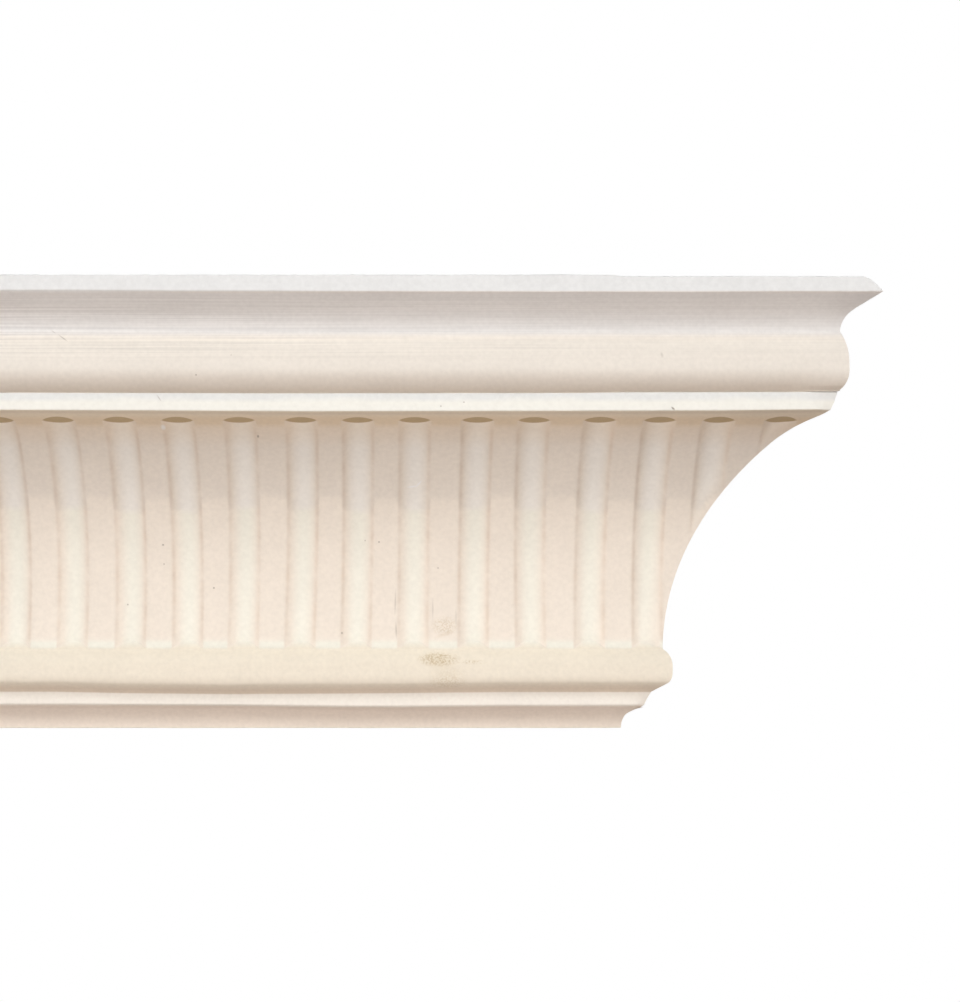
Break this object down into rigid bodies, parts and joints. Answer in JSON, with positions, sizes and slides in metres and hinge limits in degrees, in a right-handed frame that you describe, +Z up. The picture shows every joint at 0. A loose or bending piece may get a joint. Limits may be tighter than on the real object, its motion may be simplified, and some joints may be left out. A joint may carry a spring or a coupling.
{
  "type": "plaster coving",
  "caption": "Cast plaster coving with a fluted cove between two rounded mouldings, square at one end and mitred for an outside corner at the other.",
  "frame": {"origin": "middle of the flat face that beds on the wall", "axes": "+Z up to the ceiling, the run along X with the mitred end at +X, the face towards -Y and the wall behind it at +Y"},
  "size_m": [0.335, 0.0946, 0.1503],
  "materials": {
    "plaster": "matt cast plaster, cream white, bare and slightly aged"
  },
  "bodies": {
    "root": {"plaster_coving": "plaster"}
  },
  "joints": []
}
